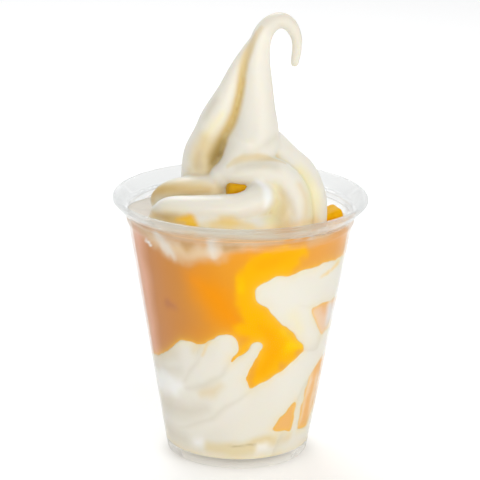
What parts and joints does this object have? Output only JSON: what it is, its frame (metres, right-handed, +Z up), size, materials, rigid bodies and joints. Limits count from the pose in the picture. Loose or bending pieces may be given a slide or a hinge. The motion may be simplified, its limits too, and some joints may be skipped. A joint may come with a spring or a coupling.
{
  "type": "fruit sundae",
  "caption": "Vanilla soft serve swirled through fruit sauce in a clear tapered cup, with a curled peak above the flared rim.",
  "frame": {"origin": "middle of the cup's foot, on the surface that it stands on", "axes": "+Z up along the cup's axis, -Y towards the shown side, +X to its right, where the tip of the peak hooks over"},
  "size_m": [0.095, 0.095, 0.1664],
  "materials": {
    "clear_cup": "clear thermoformed plastic, glossy",
    "soft_serve": "vanilla soft serve, smooth with a soft wet sheen",
    "fruit_sauce": "cooked fruit sauce, translucent and glossy",
    "fruit": "dice of ripe fruit in syrup, wet"
  },
  "bodies": {
    "root": {"cup": "clear_cup", "soft_serve": "soft_serve", "fruit_sauce": "fruit_sauce", "fruit_dice_right": "fruit", "fruit_dice_gap": "fruit"}
  },
  "joints": []
}
